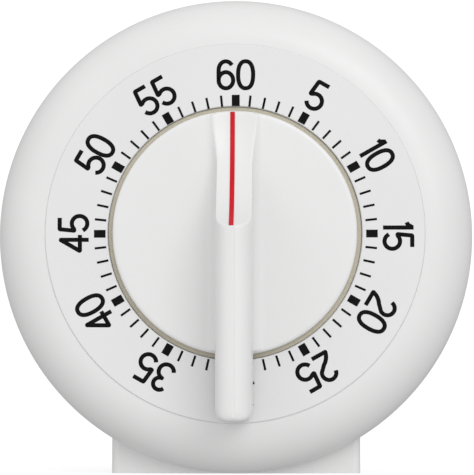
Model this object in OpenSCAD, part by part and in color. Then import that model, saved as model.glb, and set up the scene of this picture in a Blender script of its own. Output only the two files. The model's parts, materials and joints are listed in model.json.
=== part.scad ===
// Sixty-minute mechanical lab timer: round case on a foot, turning knob with a
// finger bar, printed dial ring, and a spring-driven movement with a bell inside.
// +Z is up, the dial faces -Y, and the origin is the centre of the foot's underside.

/* [Case] */
// Outer diameter across the rounded rim
case_d = 101; // [94:1:124]
// Depth from the dial face to the back of the case
case_depth = 45.3; // [43:0.1:56]
// Radius of the rounded rim around the dial
rim_r = 10.5; // [8:0.5:13]
// Depth of the rim, from the dial face back to its shoulder
rim_depth = 13; // [12:0.5:18]
// Step in from the rim to the drum behind it
rim_step = 3; // [2:0.5:4]
// Wall of the drum
wall = 2; // [1.6:0.1:2.6]
// Wall of the hollow rim
rim_wall = 2.6; // [2:0.1:3]
// Front wall under the dial
front_wall = 2.2; // [1.8:0.1:3]
// Height of the rim above the surface that the timer stands on
rim_lift = 0.2; // [0.2:0.1:4]

/* [Dial] */
// Thickness of the dial ring
dial_t = 1.2; // [0.8:0.1:1.6]
// Thickness of the spacer ring seen in the gap around the knob
spacer_t = 0.5; // [0.3:0.1:0.6]
// Distance from the dial's opening to the minute marks
mark_inset = 0.35; // [0.2:0.1:2]
// Length of a minute mark
mark_len = 2.6; // [1.5:0.1:4]
// Width of a five-minute mark
mark_wide = 1.5; // [1:0.05:2]
// Width of a one-minute mark
mark_thin = 0.4; // [0.3:0.05:0.6]

/* [Knob] */
// Diameter of the knob's disc
knob_d = 51.4; // [42:0.2:62]
// Gap between the disc and the dial's opening
knob_gap = 1.05; // [0.6:0.05:2]
// Height of the disc above the dial face
knob_rise = 1.5; // [1:0.1:3]
// Height of the finger bar above the disc
bar_h = 16.5; // [12:0.5:20]
// Width of the finger bar
bar_w = 7.6; // [6:0.2:10]
// Reach of the finger bar's tail from the centre
bar_reach = 39.5; // [30:0.5:40]
// Radius of the fillet where the bar meets the disc
bar_fillet = 2.6; // [1.5:0.1:4]
// Radius of the scoop that runs down from the centre to the disc's edge
scoop_r = 27.2; // [22:0.2:34]
// Radius of the scoop's hollow across the bar
scoop_hollow = 12; // [7:0.5:20]
// Width of the pointer line
line_w = 0.97; // [0.6:0.01:2]
// Offset of the pointer line to the left of the bar's middle
line_off = 0.45; // [0:0.05:0.6]

/* [Foot] */
// Width of the foot
foot_w = 53.2; // [40:0.2:64]
// Depth of the foot, front to back
foot_depth = 32; // [28:0.5:40]
// Radius of the foot's lower corners
foot_r = 1.5; // [0.5:0.1:3]
// Distance of each foot screw from the middle
foot_screw_x = 14; // [8:0.5:18]

/* [Movement] */
// Clearance between the front plate and the posts for the rear cover
plate_clear = 0.5; // [0.3:0.1:2]
// Thickness of both plates
plate_t = 1.2; // [1:0.1:1.6]
// Distance between the plates
plate_gap = 14.8; // [14.8:0.1:18]
// Height of the bosses that hold the front plate off the case
boss_h = 6.7; // [3:0.1:8]
// Radius of the circle through the pillars
pillar_pr = 31; // [30.5:0.1:32]
// Radius of the centre arbor
arbor_r = 2; // [1.8:0.1:2.4]
// Running clearance around a pivot
run_gap = 0.04; // [0.02:0.01:0.08]
// Clearance where fixed pieces slide together
fit_gap = 0.05; // [0.03:0.01:0.1]

/* [Wheels] */
// Teeth of the great wheel
great_n = 72; // [60:6:72]
// Teeth of the second pinion
second_pn = 12; // [10:1:14]
// Module of the great wheel
great_m = 0.5; // [0.45:0.01:0.5]
// Teeth of the second wheel
second_n = 60; // [50:5:60]
// Teeth of the third pinion
third_pn = 10; // [8:1:12]
// Module of the second wheel
second_m = 0.4; // [0.36:0.01:0.42]
// Teeth of the third wheel
third_n = 54; // [45:3:54]
// Teeth of the escape pinion
escape_pn = 9; // [8:1:10]
// Module of the third wheel
third_m = 0.35; // [0.3:0.01:0.36]
// Radius of the escape wheel
escape_r = 6; // [5:0.1:6.4]
// Radius of the balance wheel
balance_r = 7.2; // [6:0.1:7.4]

/* [Bell] */
// Radius of the bell at its rim
bell_r = 26; // [22:0.5:27]
// Depth of the bell
bell_depth = 8; // [5:0.5:9]
// Thickness of the bell's metal
bell_t = 1; // [0.8:0.1:1.4]
// Height of the bell's centre above the centre arbor
bell_up = 10; // [8:0.5:12]

/* [Hidden] */
$fn = 48;

// depths along the knob's axis, forward from the middle of the foot
rim_gap = 0.3;
case_r = case_d / 2;
axis_h = case_r + rim_lift;
rim_back = foot_depth / 2 + rim_gap;
dial_z = rim_back + rim_depth;
seat_z = dial_z - dial_t;
inside_z = seat_z - front_wall;
back_z = dial_z - case_depth;
drum_r = case_r - rim_step;
drum_in = drum_r - wall;
recess_r = case_r - rim_r;
ring_gap = 0.15;

// material left under the foot screws
foot_floor = 1.6;

// rear cover and its posts
cover_t = 2;
cover_z = back_z + cover_t;
post_r = 4.5;
post_sink = 0.5;
post_pr = drum_in - post_r + post_sink;
post_angles = [45, 135, 225, 315];
screw_r = 1.4;
pilot_r = screw_r + fit_gap;
head_r = 2.6;
head_t = 1.2;

// knob
knob_r = knob_d / 2;
dial_hole_r = knob_r + knob_gap;
knob_top = dial_z + knob_rise;
knob_under = seat_z + spacer_t + 0.3;
bar_top = knob_top + bar_h;
bar_hw = bar_w / 2;
bar_under = dial_z + 1;
bar_end_r = 1.5;
bar_corner_r = 2.2;
scoop_lift = 0.15;
scoop_y = knob_r - 0.3;
scoop_z = knob_top + scoop_lift + scoop_r;
scoop_hw = bar_hw + bar_fillet;
scoop_flat = line_off + line_w / 2 + 0.1;
fillet_sink = 0.05;
line_t = 0.12;
line_end = 0.15;
arbor_top = knob_top + 8;

// movement plates
front_z1 = inside_z - boss_h;
front_z0 = front_z1 - plate_t;
back_z1 = front_z0 - plate_gap;
back_z0 = back_z1 - plate_t;
plate_r = post_pr - post_r - plate_clear;
back_plate_r = plate_r - 2;
pillar_r = 2.2;
pillar_angles = [60, 150, 240, 330];
boss_pr = plate_r - 3;
boss_angles = [15, 120, 210, 285];
boss_r = 2.8;
small_r = 1;
small_pilot = small_r + fit_gap;
small_head_r = 2.2;
small_head_t = 0.9;
pivot_r = 0.6;
bush_r = 5;

// arbor places, as seen from the front with the knob's axis at zero
function polar(r, a) = [r * cos(a), r * sin(a)];
second_dir = 90;
third_off = 22.5;
dist_12 = great_m * (great_n + second_pn) / 2;
dist_23 = second_m * (second_n + third_pn) / 2;
dist_34 = third_m * (third_n + escape_pn) / 2;
second_p = polar(dist_12, second_dir);
third_swing = acos((dist_12 * dist_12 + third_off * third_off - dist_23 * dist_23)
    / (2 * dist_12 * third_off));
third_p = polar(third_off, second_dir + third_swing);
escape_dir = 240;
escape_p = third_p + polar(dist_34, escape_dir);
pallet_dir = 235;
pallet_dist = escape_r + 2.2;
pallet_p = escape_p + polar(pallet_dist, pallet_dir);
balance_dir = 260;
balance_dist = balance_r + 1.8;
balance_p = pallet_p + polar(balance_dist, balance_dir);
hammer_p = [22, -20];
let_off_p = [20, -9.2];
spring_post_p = polar(13.2, 200);
dir_23 = atan2(third_p[1] - second_p[1], third_p[0] - second_p[0]);

// heights of the wheels between the plates, forward from the back plate
great_z = back_z1 + 1.8;
great_t = 1.4;
ratchet_z = great_z + great_t + 0.1;
ratchet_t = 1;
spring_z = back_z1 + 4.8;
spring_h = 7;
upper_z = front_z0 - 2.2;
upper_t = 1.1;
third_z = back_z1 + 6.8;
third_t = 1;
escape_z = third_z + 2.6;
escape_t = 0.8;
lever_z = escape_z + 1.2;
lever_t = 0.8;
balance_z = third_z + 0.4;
balance_t = 1.4;
hair_z = lever_z + 1.4;
hair_h = 0.9;

// gear teeth, as shares of the module and of the pitch
addendum = 0.8;
dedendum = 1.25;
root_share = 0.28;
tip_share = 0.12;

// let-off cam and lever
cam_r = 6.5;
notch_w = 3;
notch_depth = 1.9;
nose_w = 1.8;
nose_gap = 0.3;
arm_w = 2;

// escapement
escape_teeth = 15;
pallet_pin_r = 0.3;
pallet_pin_pr = escape_r + 0.9;
pallet_spread = 32;
roller_pin_pr = 1.4;
fork_half = 0.95;

// bell and hammer
bell_z = back_z0 - 1.5;
bell_ball = (bell_r * bell_r + bell_depth * bell_depth) / (2 * bell_depth);
bell_apex = bell_z - bell_depth;
hammer_head_r = 2.4;
hammer_rest = 2;
hammer_x = 6;
hammer_reach = bell_r + hammer_head_r + hammer_rest;
hammer_head_p = [hammer_x, bell_up - sqrt(hammer_reach * hammer_reach - hammer_x * hammer_x)];
hammer_z = bell_z - 3.4;
hammer_t = 1.2;

white = [0.9, 0.9, 0.9];
brass = [0.8, 0.66, 0.3];
steel = [0.72, 0.73, 0.75];

// places a shape in the dial's frame: x right, y up, z forward along the knob's axis
module in_case() {
    translate([0, 0, axis_h]) rotate([90, 0, 0]) children();
}

// points of an arc about (x, y)
function arc(x, y, r, a0, a1, n) = [
    for (i = [0:n])
        let (a = a0 + (a1 - a0) * i / n)
        [x + r * cos(a), y + r * sin(a)]
];

// a cylinder from one height to another
module rod(p, r, z0, z1) {
    translate([p[0], p[1], z0]) cylinder(r = r, h = z1 - z0);
}

// a flat bar between two points with a round eye at each end
module bar(p, q, w, z, t, eye = 0) {
    d = q - p;
    eye_r = eye > 0 ? eye : w * 0.65;
    translate([p[0], p[1], z]) {
        rotate([0, 0, atan2(d[1], d[0])]) translate([0, -w / 2, 0]) cube([norm(d), w, t]);
        cylinder(r = eye_r, h = t);
    }
    translate([q[0], q[1], z]) cylinder(r = w * 0.65, h = t);
}

// outline of a spur gear with a tooth centred on the x axis
function gear_points(n, m) = [
    for (i = [0:n - 1])
        for (c = [[-root_share, -dedendum], [-tip_share, addendum], [tip_share, addendum],
            [root_share, -dedendum]])
            let (r = n * m / 2 + c[1] * m, a = 360 / n * (i + c[0]))
            [r * cos(a), r * sin(a)]
];

// a wheel with a bore and round lightening holes
module wheel(p, n, m, phase, z, t, bore, holes) {
    r = n * m / 2;
    hole_r = r * 0.2;
    translate([p[0], p[1], z]) rotate([0, 0, phase]) difference() {
        linear_extrude(t) polygon(gear_points(n, m));
        translate([0, 0, -1]) cylinder(r = bore, h = t + 2);
        for (i = [0:holes - 1])
            rotate([0, 0, 360 / holes * (i + 0.5)]) translate([r * 0.58, 0, -1])
                cylinder(r = hole_r, h = t + 2);
    }
}

// a pinion cut on its arbor, with thin pivots that run in the plates
module pinion_arbor(p, n, m, phase, z, t, r) {
    rod(p, r, back_z1 + 0.2, front_z0 - 0.2);
    rod(p, pivot_r, back_z0, front_z1);
    translate([p[0], p[1], z]) rotate([0, 0, phase])
        linear_extrude(t) polygon(gear_points(n, m));
}

// a plain arbor with thin pivots
module plain_arbor(p, r) {
    rod(p, r, back_z1 + 0.2, front_z0 - 0.2);
    rod(p, pivot_r, back_z0, front_z1);
}

// a screw whose head sits on z and whose shank runs back from it
module screw(p, r, hr, ht, z, len, dir) {
    translate([p[0], p[1], z]) mirror([0, 0, dir < 0 ? 1 : 0]) difference() {
        union() {
            cylinder(r = hr, h = ht);
            translate([0, 0, -len]) cylinder(r = r, h = len + 0.1);
        }
        translate([-hr, -0.3, ht * 0.45]) cube([hr * 2, 0.6, ht]);
    }
}

// a flat spiral strip
module spiral(p, r0, r1, turns, t, z, h, start) {
    n = ceil(turns * 24);
    mid = [for (i = [0:n]) [r0 + (r1 - r0) * i / n, start + 360 * turns * i / n]];
    outer = [for (q = mid) polar(q[0] + t / 2, q[1])];
    inner = [for (i = [n:-1:0]) polar(mid[i][0] - t / 2, mid[i][1])];
    translate([p[0], p[1], z]) linear_extrude(h) polygon(concat(outer, inner));
}

// half-section of the front case: rounded rim, drum and front wall
function case_section() =
    let (round_z = dial_z - rim_r,
        hollow_r = rim_r - rim_wall,
        hollow_a = asin(min(0.98, (inside_z - round_z) / hollow_r)))
    concat(
        [[bush_r, inside_z], [bush_r, seat_z], [recess_r, seat_z], [recess_r, dial_z - 0.25]],
        arc(recess_r, round_z, rim_r, 88, 0, 22),
        arc(case_r - 1, rim_back + 1, 1, 0, -90, 4),
        [[drum_r, rim_back], [drum_r, back_z + 0.6], [drum_r - 0.6, back_z],
            [drum_in, back_z], [drum_in, rim_back + wall]],
        arc(recess_r, round_z, hollow_r, 0, hollow_a, 8)
    );

module front_case() {
    color(white) in_case() difference() {
        union() {
            rotate_extrude($fn = 96) polygon(case_section());
            for (a = post_angles)
                rod(polar(post_pr, a), post_r, cover_z, inside_z + 0.5);
            for (a = boss_angles)
                rod(polar(boss_pr, a), boss_r, front_z1, inside_z + 0.5);
        }
        for (a = post_angles)
            rod(polar(post_pr, a), pilot_r, cover_z - 1, cover_z + 9);
        for (a = boss_angles)
            rod(polar(boss_pr, a), small_pilot, front_z1 - 1, front_z1 + 5);
        for (x = [-foot_screw_x, foot_screw_x])
            translate([x, -drum_r + 6, 0]) rotate([90, 0, 0])
                cylinder(r = screw_r + 0.2, h = 12);
    }
}

module dial_ring() {
    color(white) in_case() difference() {
        rod([0, 0], recess_r - ring_gap, seat_z, dial_z);
        rod([0, 0], dial_hole_r, seat_z - 1, dial_z + 1);
    }
}

// sixty printed minute marks
module dial_marks() {
    r0 = dial_hole_r + mark_inset;
    color([0.09, 0.09, 0.09]) in_case()
        for (i = [0:59])
            rotate([0, 0, -6 * i]) translate([0, r0, dial_z]) {
                w = i % 5 == 0 ? mark_wide : mark_thin;
                translate([-w / 2, 0, 0]) cube([w, mark_len, 0.06]);
            }
}

module spacer_ring() {
    color([0.67, 0.65, 0.58]) in_case() difference() {
        rod([0, 0], dial_hole_r - ring_gap, seat_z, seat_z + spacer_t);
        rod([0, 0], bush_r + 2, seat_z - 1, seat_z + 1);
    }
}

// block with a concave top that cradles the drum
module base_foot() {
    x = foot_w / 2 - foot_r;
    y = foot_r - axis_h;
    outline = concat(
        arc(-x, y, foot_r, 180, 270, 6),
        arc(x, y, foot_r, 270, 360, 6),
        [[foot_w / 2, -drum_r * 0.5], [-foot_w / 2, -drum_r * 0.5]]
    );
    color(white) in_case() difference() {
        translate([0, 0, -foot_depth / 2]) linear_extrude(foot_depth) polygon(outline);
        rod([0, 0], drum_r + fit_gap, -foot_depth, foot_depth);
        for (s = [-foot_screw_x, foot_screw_x])
            translate([s, 0, 0]) rotate([90, 0, 0]) cylinder(r = pilot_r, h = axis_h - foot_floor);
    }
}

// two screws that hold the foot from inside the drum
module foot_screws() {
    seat_y = sqrt(pow(drum_in, 2) - pow(foot_screw_x + head_r, 2)) - 0.1;
    color(steel) in_case()
        for (x = [-foot_screw_x, foot_screw_x])
            translate([x, -seat_y, 0]) rotate([-90, 0, 0])
                screw([0, 0], screw_r, head_r, head_t, 0, axis_h - foot_floor - 0.4 - seat_y, 1);
}

module rear_cover() {
    slot_pitch = 4;
    slot_w = 1.6;
    slot_field = 17;
    color(white) in_case() difference() {
        rod([0, 0], drum_in - ring_gap, back_z, cover_z);
        for (a = post_angles) {
            rod(polar(post_pr, a), screw_r + 0.2, back_z - 1, cover_z + 1);
            rod(polar(post_pr, a), head_r + 0.2, back_z - 1, back_z + head_t);
        }
        for (i = [-4:4]) {
            h = sqrt(slot_field * slot_field - pow(i * slot_pitch, 2));
            translate([i * slot_pitch - slot_w / 2, -h, back_z - 1]) cube([slot_w, h * 2, cover_t + 2]);
        }
    }
}

module cover_screws() {
    color(steel) in_case()
        for (a = post_angles)
            screw(polar(post_pr, a), screw_r, head_r, head_t - 0.1, back_z + head_t, 8, -1);
}

module front_plate() {
    color(brass) in_case() difference() {
        rod([0, 0], plate_r, front_z0, front_z1);
        rod([0, 0], arbor_r + run_gap, front_z0 - 1, front_z1 + 1);
        for (p = [second_p, third_p, escape_p, pallet_p, balance_p, hammer_p, let_off_p])
            rod(p, pivot_r + run_gap, front_z0 - 1, front_z1 + 1);
        for (a = pillar_angles) rod(polar(pillar_pr, a), small_r + 0.1, front_z0 - 1, front_z1 + 1);
        for (a = boss_angles) rod(polar(boss_pr, a), small_r + 0.1, front_z0 - 1, front_z1 + 1);
    }
}

module back_plate() {
    color(brass) in_case() difference() {
        rod([0, 0], back_plate_r, back_z0, back_z1);
        rod([0, 0], 1.2 + run_gap, back_z0 - 1, back_z1 + 1);
        for (p = [second_p, third_p, escape_p, pallet_p, balance_p, let_off_p])
            rod(p, pivot_r + run_gap, back_z0 - 1, back_z1 + 1);
        rod(hammer_p, 1 + run_gap, back_z0 - 1, back_z1 + 1);
        for (a = pillar_angles) rod(polar(pillar_pr, a), small_r + 0.1, back_z0 - 1, back_z1 + 1);
    }
}

module plate_pillars() {
    color(brass) in_case() difference() {
        for (a = pillar_angles) rod(polar(pillar_pr, a), pillar_r, back_z1, front_z0);
        for (a = pillar_angles) {
            rod(polar(pillar_pr, a), small_pilot, front_z0 - 4, front_z0 + 1);
            rod(polar(pillar_pr, a), small_pilot, back_z1 - 1, back_z1 + 4);
        }
    }
}

module pillar_screws() {
    color(steel) in_case()
        for (a = pillar_angles) {
            screw(polar(pillar_pr, a), small_r, small_head_r, small_head_t, front_z1, 4.5, 1);
            screw(polar(pillar_pr, a), small_r, small_head_r, small_head_t, back_z0, 4.5, -1);
        }
}

module movement_screws() {
    color(steel) in_case()
        for (a = boss_angles)
            screw(polar(boss_pr, a), small_r, small_head_r, small_head_t, front_z0, 5.5, -1);
}

// flanged bush in the front wall that steadies the arbor
module arbor_bush() {
    color(brass) in_case() difference() {
        union() {
            rod([0, 0], bush_r - fit_gap, inside_z - 0.5, seat_z);
            rod([0, 0], bush_r + 1.5, inside_z - 1, inside_z);
        }
        rod([0, 0], arbor_r + run_gap, inside_z - 2, seat_z + 1);
    }
}

module mainspring() {
    color([0.35, 0.37, 0.42]) in_case()
        spiral([0, 0], 3.4, 11.4, 6.2, 0.4, spring_z, spring_h, 128);
}

module spring_post() {
    color(steel) in_case() rod(spring_post_p, 1.2, spring_z, front_z0);
}

module hairspring() {
    color([0.3, 0.34, 0.5]) in_case()
        spiral(balance_p, 1.7, 4.4, 3.5, 0.15, hair_z, hair_h, 0);
}

module hairspring_stud() {
    color(steel) in_case() rod(balance_p + [-5, 0], 0.45, hair_z, front_z0);
}

// shallow dome, open towards the back plate
module bell() {
    color([0.8, 0.8, 0.82]) in_case() difference() {
        translate([0, bell_up, bell_apex + bell_ball]) rotate_extrude($fn = 96) intersection() {
            difference() {
                circle(r = bell_ball);
                circle(r = bell_ball - bell_t);
            }
            translate([0, -bell_ball - 1]) square([bell_r, bell_depth + 1]);
        }
        rod([0, bell_up], small_r + 0.1, bell_apex - 1, bell_apex + 3);
    }
}

module bell_post() {
    color(steel) in_case() difference() {
        rod([0, bell_up], 2.5, bell_apex + bell_t + 0.2, back_z0);
        rod([0, bell_up], small_pilot, bell_apex, bell_apex + 5);
    }
}

module bell_screw() {
    color(steel) in_case() screw([0, bell_up], small_r, 2.6, 0.9, bell_apex - 0.05, 5, -1);
}

// outline of the finger bar seen from the side: x is up the dial, y is forward
function bar_side() = concat(
    [[-bar_reach, bar_under]],
    arc(bar_end_r - bar_reach, bar_top - bar_end_r, bar_end_r, 180, 90, 6),
    [[scoop_y, bar_top], [scoop_y, knob_under + 0.5], [0, knob_under + 0.5], [0, bar_under]]
);

// wheel that leaves the scoop: its tread is flat under the pointer line and rounded beside it
module scoop_wheel() {
    a = asin((scoop_hw - scoop_flat) / scoop_hollow);
    translate([0, scoop_y, scoop_z]) rotate([0, 90, 0]) rotate_extrude($fn = 96)
        polygon(concat(
            [[0, -scoop_hw]],
            arc(scoop_r - scoop_hollow, -scoop_flat, scoop_hollow, -a, 0, 5),
            arc(scoop_r - scoop_hollow, scoop_flat, scoop_hollow, 0, a, 5),
            [[0, scoop_hw]]
        ));
}

// cross-section of the finger bar: upright sides and a round crown
function bar_section() = concat(
    [[bar_hw, knob_under]],
    arc(0, bar_top - bar_hw, bar_hw, 0, 180, 18),
    [[-bar_hw, knob_under]]
);

// cross-section of the fillets on both sides of the bar
function fillet_section() =
    let (x = bar_hw + bar_fillet, z = knob_top + bar_fillet - fillet_sink)
    concat(
        [[x, knob_under + 0.5]],
        arc(x, z, bar_fillet, 270, 180, 10),
        arc(-x, z, bar_fillet, 0, -90, 10),
        [[-x, knob_under + 0.5]]
    );

// plan of the finger bar with rounded tail corners
function bar_plan() = concat(
    [[bar_hw, knob_r]],
    [[-bar_hw, knob_r]],
    arc(bar_corner_r - bar_hw, bar_corner_r - bar_reach, bar_corner_r, 180, 270, 8),
    arc(bar_hw - bar_corner_r, bar_corner_r - bar_reach, bar_corner_r, 270, 360, 8)
);

// slab along the dial's up direction with the given cross-section
module along_bar(points, y0, y1) {
    translate([0, y1, 0]) rotate([90, 0, 0]) linear_extrude(y1 - y0) polygon(points);
}

// slab across the bar with the given side view
module across_bar(points, w) {
    translate([-w / 2, 0, 0]) rotate([90, 0, 90]) linear_extrude(w) polygon(points);
}

module knob_disc() {
    edge_r = 0.5;
    rotate_extrude($fn = 96) polygon(concat(
        [[0, knob_under], [knob_r - 0.2, knob_under], [knob_r, knob_under + 0.2]],
        arc(knob_r - edge_r, knob_top - edge_r, edge_r, 0, 90, 5),
        [[0, knob_top]]
    ));
}

module knob() {
    groove_w = 0.3;
    groove_depth = 0.12;
    pocket_w = bar_w - 4;
    color(white) in_case() difference() {
        union() {
            knob_disc();
            intersection() {
                along_bar(bar_section(), -bar_reach, knob_r);
                across_bar(bar_side(), bar_w + 2);
                translate([0, 0, knob_under]) linear_extrude(bar_h + 6) polygon(bar_plan());
            }
            intersection() {
                along_bar(fillet_section(), -knob_r, knob_r);
                across_bar(bar_side(), bar_w + bar_fillet * 2 + 2);
                rod([0, 0], knob_r - 0.6, knob_under + 0.4, knob_top + bar_fillet + 1);
            }
        }
        scoop_wheel();
        difference() {
            rod([0, 0], arbor_r + fit_gap, knob_under - 1, arbor_top + 0.2);
            translate([-5, arbor_r * 0.6 + fit_gap, knob_under - 2]) cube([10, 10, 20]);
        }
        translate([-pocket_w / 2, 5 - knob_r, knob_under - 1])
            cube([pocket_w, knob_r - 10, bar_h - 3]);
        translate([-groove_w / 2, -bar_reach + bar_end_r, bar_top - groove_depth])
            cube([groove_w, bar_reach, 1]);
    }
}

// line laid on the scoop's floor
module pointer_line() {
    color([0.78, 0.12, 0.15]) in_case() intersection() {
        translate([-line_off, scoop_y, scoop_z]) rotate([0, 90, 0]) rotate_extrude($fn = 96)
            translate([scoop_r - line_t, -line_w / 2]) square([line_t, line_w]);
        translate([-bar_w, 0, knob_top]) cube([bar_w * 2, scoop_y, bar_h - line_end]);
    }
}

module centre_arbor() {
    color(steel) in_case() difference() {
        union() {
            rod([0, 0], 1.2, back_z0, front_z0);
            rod([0, 0], arbor_r, back_z1 + 0.2, arbor_top);
        }
        translate([-5, arbor_r * 0.6, knob_under - 0.6]) cube([10, 10, 20]);
    }
}

module great_wheel() {
    color(brass) in_case()
        wheel([0, 0], great_n, great_m, second_dir, great_z, great_t, arbor_r + fit_gap, 6);
}

module ratchet_wheel() {
    n = 16;
    points = [for (i = [0:n - 1]) for (k = [0, 1]) polar(k == 0 ? 5.4 : 4.5, 360 / n * (i + k * 0.85))];
    color(steel) in_case() translate([0, 0, ratchet_z]) difference() {
        linear_extrude(ratchet_t) polygon(points);
        translate([0, 0, -1]) cylinder(r = arbor_r + fit_gap, h = 3);
    }
}

module click() {
    p = polar(10, 300);
    color(steel) in_case() {
        bar(p, polar(6.4, 340), 1.4, ratchet_z, ratchet_t, 1.5);
    }
}

module click_spring() {
    color(steel) in_case()
        bar(polar(13, 330), polar(9, 348), 0.4, ratchet_z, ratchet_t * 0.8, 0.6);
}

module let_off_cam() {
    color(brass) in_case() difference() {
        rod([0, 0], cam_r, upper_z, upper_z + upper_t);
        rod([0, 0], arbor_r + fit_gap, upper_z - 1, upper_z + 3);
        translate([-notch_w / 2, -cam_r - 2, upper_z - 1]) cube([notch_w, notch_depth + 2, 4]);
    }
}

module second_arbor() {
    phase = second_dir + 180 + 180 / second_pn;
    color(steel) in_case()
        pinion_arbor(second_p, second_pn, great_m, phase, great_z - 0.7, great_t + 1.5, 1.1);
}

module second_wheel() {
    color(brass) in_case()
        wheel(second_p, second_n, second_m, dir_23, upper_z, upper_t, 1.1 + fit_gap, 5);
}

module third_arbor() {
    phase = dir_23 + 180 + 180 / third_pn;
    color(steel) in_case()
        pinion_arbor(third_p, third_pn, second_m, phase, upper_z - 0.8, upper_t + 1.4, 0.9);
}

module third_wheel() {
    color(brass) in_case()
        wheel(third_p, third_n, third_m, escape_dir, third_z, third_t, 0.9 + fit_gap, 5);
}

module escape_arbor() {
    phase = escape_dir + 180 + 180 / escape_pn;
    color(steel) in_case()
        pinion_arbor(escape_p, escape_pn, third_m, phase, third_z - 0.6, third_t + 1.2, 0.8);
}

// pointed teeth that lean in the turning direction
module escape_wheel() {
    points = [
        for (i = [0:escape_teeth - 1])
            for (q = [[0, 1], [0.16, 0.97], [0.34, 0.74], [0.9, 0.74]])
                polar(escape_r * q[1], 360 / escape_teeth * (i + q[0]))
    ];
    color(brass) in_case() translate([escape_p[0], escape_p[1], escape_z]) difference() {
        linear_extrude(escape_t) polygon(points);
        translate([0, 0, -1]) cylinder(r = 0.8 + fit_gap, h = 3);
        for (i = [0:3])
            rotate([0, 0, 90 * i]) translate([escape_r * 0.42, 0, -1]) cylinder(r = escape_r * 0.18, h = 3);
    }
}

module pallet_arbor() {
    color(steel) in_case() plain_arbor(pallet_p, 0.8);
}

// lever with two pallet pins at one end and a fork at the other
module pallet_lever() {
    pins = [for (s = [-1, 1]) escape_p + polar(pallet_pin_pr, pallet_dir + s * pallet_spread)];
    fork_in = balance_dist - roller_pin_pr - 1.1;
    color(steel) in_case() difference() {
        union() {
            for (q = pins) {
                bar(pallet_p, q, 1, lever_z, lever_t, 1.5);
                rod(q, pallet_pin_r, escape_z - 0.2, lever_z + 0.1);
            }
            bar(pallet_p, pallet_p + polar(fork_in - 1.2, balance_dir), 1, lever_z, lever_t, 1.5);
            translate([pallet_p[0], pallet_p[1], lever_z]) rotate([0, 0, balance_dir])
                translate([fork_in - 1.2, -fork_half - 0.6, 0]) difference() {
                    cube([2.7, fork_half * 2 + 1.2, lever_t]);
                    translate([1.2, 0.6, -1]) cube([4, fork_half * 2, lever_t + 2]);
                }
        }
        rod(pallet_p, 0.8 + fit_gap, lever_z - 1, lever_z + 3);
    }
}

// staff with the roller, its impulse pin and the collet for the hairspring
module balance_staff() {
    color(steel) in_case() {
        plain_arbor(balance_p, 0.8);
        rod(balance_p, 2, balance_z + balance_t + 0.1, lever_z - 0.5);
        rod(balance_p + polar(roller_pin_pr, balance_dir + 180), 0.3, lever_z - 0.6,
            lever_z + lever_t + 0.2);
        rod(balance_p, 1.3, hair_z - 0.1, hair_z + hair_h + 0.1);
    }
}

module balance_wheel() {
    color(brass) in_case() difference() {
        union() {
            difference() {
                rod(balance_p, balance_r, balance_z, balance_z + balance_t);
                rod(balance_p, balance_r - 1.3, balance_z - 1, balance_z + 3);
            }
            rod(balance_p, 1.9, balance_z, balance_z + balance_t);
            for (a = [80, 200, 320])
                translate([balance_p[0], balance_p[1], balance_z + 0.3]) rotate([0, 0, a])
                    translate([0, -0.6, 0]) cube([balance_r - 0.6, 1.2, 0.8]);
        }
        rod(balance_p, 0.8 + fit_gap, balance_z - 1, balance_z + 3);
    }
}

module hammer_arbor() {
    color(steel) in_case() {
        rod(hammer_p, 1, hammer_z - 0.4, front_z0 - 0.2);
        rod(hammer_p, pivot_r, front_z0 - 1, front_z1);
        rod(hammer_p, 1.6, back_z1 + 0.2, back_z1 + 1);
        bar(hammer_p, [16.5, -14.5], 1.2, lever_z, lever_t, 1.6);
    }
}

module hammer_arm() {
    color(steel) in_case() difference() {
        bar(hammer_p, hammer_head_p, 1.6, hammer_z, hammer_t, 2.2);
        rod(hammer_p, 1 + fit_gap, hammer_z - 1, hammer_z + 3);
        rod(hammer_head_p, 0.8 + fit_gap, hammer_z - 1, hammer_z + 3);
    }
}

module hammer_head() {
    color(brass) in_case() {
        rod(hammer_head_p, hammer_head_r, hammer_z + hammer_t, bell_z + 0.4);
        rod(hammer_head_p, 0.8, hammer_z - 0.2, hammer_z + hammer_t + 0.2);
    }
}

module let_off_arbor() {
    color(steel) in_case() plain_arbor(let_off_p, 1);
}

module let_off_lever() {
    nose_top = -cam_r - nose_gap;
    color(steel) in_case() difference() {
        union() {
            bar(let_off_p, [0, let_off_p[1]], arm_w, upper_z, upper_t, 2.4);
            translate([-nose_w / 2, let_off_p[1], upper_z])
                cube([nose_w, nose_top - let_off_p[1], upper_t]);
        }
        rod(let_off_p, 1 + fit_gap, upper_z - 1, upper_z + 3);
    }
}

front_case();
dial_ring();
dial_marks();
spacer_ring();
base_foot();
foot_screws();
rear_cover();
cover_screws();
front_plate();
back_plate();
plate_pillars();
pillar_screws();
movement_screws();
arbor_bush();
mainspring();
spring_post();
hairspring();
hairspring_stud();
bell();
bell_post();
bell_screw();
knob();
pointer_line();
centre_arbor();
great_wheel();
ratchet_wheel();
click();
click_spring();
let_off_cam();
second_arbor();
second_wheel();
third_arbor();
third_wheel();
escape_arbor();
escape_wheel();
pallet_arbor();
pallet_lever();
balance_staff();
balance_wheel();
hammer_arbor();
hammer_arm();
hammer_head();
let_off_arbor();
let_off_lever();
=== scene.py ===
# %% [markdown]
# # A sixty-minute mechanical lab timer
# The timer is a round white case on a small foot. A printed dial ring sits inside a rounded rim,
# and a white knob with a finger bar turns in the middle of it. The frame that is loaded here
# holds every mechanical piece at its true size. This script gives the timer its looks: finished
# plastic mouldings, printed numerals, a painted pointer, metals for the movement, and light.

# %% Load the frame
import json
import math

import bpy
from mathutils import Matrix, Vector


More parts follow.
